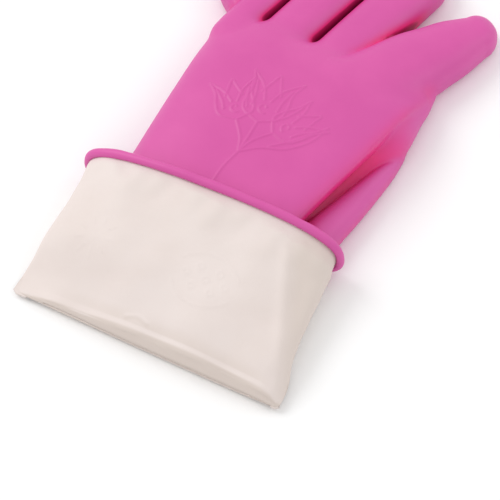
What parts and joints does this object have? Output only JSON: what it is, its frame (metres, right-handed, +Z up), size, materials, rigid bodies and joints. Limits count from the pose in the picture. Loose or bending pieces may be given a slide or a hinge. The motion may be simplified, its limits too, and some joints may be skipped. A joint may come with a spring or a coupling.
{
  "type": "rubber glove",
  "caption": "Left household rubber glove lying palm down, its cuff turned back to show the pale lining, with digits and wrist that bend.",
  "frame": {"origin": "under the middle of the glove's box, on the surface that it lies on", "axes": "+Y from the turned-back cuff to the fingertips, +X towards the thumb, +Z up, away from the surface"},
  "size_m": [0.1634, 0.2752, 0.037],
  "materials": {
    "coloured_latex": "smooth satin pink latex, embossed flower on the back of the hand",
    "natural_latex": "matt natural latex, softly wrinkled"
  },
  "bodies": {
    "hand": {"hand_skin": "coloured_latex", "hand_lining": "natural_latex"},
    "cuff": {"sleeve_skin": "coloured_latex", "sleeve_lining": "natural_latex", "turned_cuff_skin": "coloured_latex", "turned_cuff_lining": "natural_latex", "cuff_lip": "natural_latex", "cuff_bead": "coloured_latex"},
    "little_base": {"little_base_skin": "coloured_latex", "little_base_lining": "natural_latex"},
    "little_tip": {"little_tip_skin": "coloured_latex", "little_tip_lining": "natural_latex"},
    "ring_base": {"ring_base_skin": "coloured_latex", "ring_base_lining": "natural_latex"},
    "ring_tip": {"ring_tip_skin": "coloured_latex", "ring_tip_lining": "natural_latex"},
    "middle_base": {"middle_base_skin": "coloured_latex", "middle_base_lining": "natural_latex"},
    "middle_tip": {"middle_tip_skin": "coloured_latex", "middle_tip_lining": "natural_latex"},
    "index_base": {"index_base_skin": "coloured_latex", "index_base_lining": "natural_latex"},
    "index_tip": {"index_tip_skin": "coloured_latex", "index_tip_lining": "natural_latex"},
    "thumb_base": {"thumb_base_skin": "coloured_latex", "thumb_base_lining": "natural_latex"},
    "thumb_tip": {"thumb_tip_skin": "coloured_latex", "thumb_tip_lining": "natural_latex"}
  },
  "joints": [
    {"name": "wrist", "type": "hinge", "parent": "hand", "child": "cuff", "pos_m": [0.00175, -0.02865, 0.016], "axis": [1, 0, 0], "range_deg": [-30, 30], "stiffness_Nm_per_rad": 0.3},
    {"name": "little_knuckle", "type": "hinge", "parent": "hand", "child": "little_base", "pos_m": [-0.05914, 0.07403, 0.00584], "axis": [-0.8988, -0.4384, 0], "range_deg": [-20, 60], "stiffness_Nm_per_rad": 0.03},
    {"name": "little_middle_joint", "type": "hinge", "parent": "little_base", "child": "little_tip", "pos_m": [-0.06791, 0.092, 0.0055], "axis": [-0.8988, -0.4384, 0], "range_deg": [-5, 80], "stiffness_Nm_per_rad": 0.03},
    {"name": "ring_knuckle", "type": "hinge", "parent": "hand", "child": "ring_base", "pos_m": [-0.04052, 0.07388, 0.00713], "axis": [-0.9763, 0.2164, 0], "range_deg": [-20, 60], "stiffness_Nm_per_rad": 0.03},
    {"name": "ring_middle_joint", "type": "hinge", "parent": "ring_base", "child": "ring_tip", "pos_m": [-0.03446, 0.10121, 0.00635], "axis": [-0.9763, 0.2164, 0], "range_deg": [-5, 80], "stiffness_Nm_per_rad": 0.03},
    {"name": "middle_knuckle", "type": "hinge", "parent": "hand", "child": "middle_base", "pos_m": [-0.01712, 0.0729, 0.00761], "axis": [-0.9774, 0.2113, 0], "range_deg": [-20, 60], "stiffness_Nm_per_rad": 0.03},
    {"name": "middle_middle_joint", "type": "hinge", "parent": "middle_base", "child": "middle_tip", "pos_m": [-0.01057, 0.1032, 0.00678], "axis": [-0.9774, 0.2113, 0], "range_deg": [-5, 80], "stiffness_Nm_per_rad": 0.03},
    {"name": "index_knuckle", "type": "hinge", "parent": "hand", "child": "index_base", "pos_m": [0.01357, 0.08158, 0.00732], "axis": [-0.9736, 0.2284, 0], "range_deg": [-20, 60], "stiffness_Nm_per_rad": 0.03},
    {"name": "index_middle_joint", "type": "hinge", "parent": "index_base", "child": "index_tip", "pos_m": [0.01928, 0.10592, 0.00659], "axis": [-0.9736, 0.2284, 0], "range_deg": [-5, 80], "stiffness_Nm_per_rad": 0.03},
    {"name": "thumb_knuckle", "type": "hinge", "parent": "hand", "child": "thumb_base", "pos_m": [0.04744, 0.07706, 0.0081], "axis": [-0.8415, 0.5402, 0], "range_deg": [-15, 45], "stiffness_Nm_per_rad": 0.03},
    {"name": "thumb_middle_joint", "type": "hinge", "parent": "thumb_base", "child": "thumb_tip", "pos_m": [0.05716, 0.09221, 0.00699], "axis": [-0.8415, 0.5402, 0], "range_deg": [-10, 60], "stiffness_Nm_per_rad": 0.03}
  ]
}
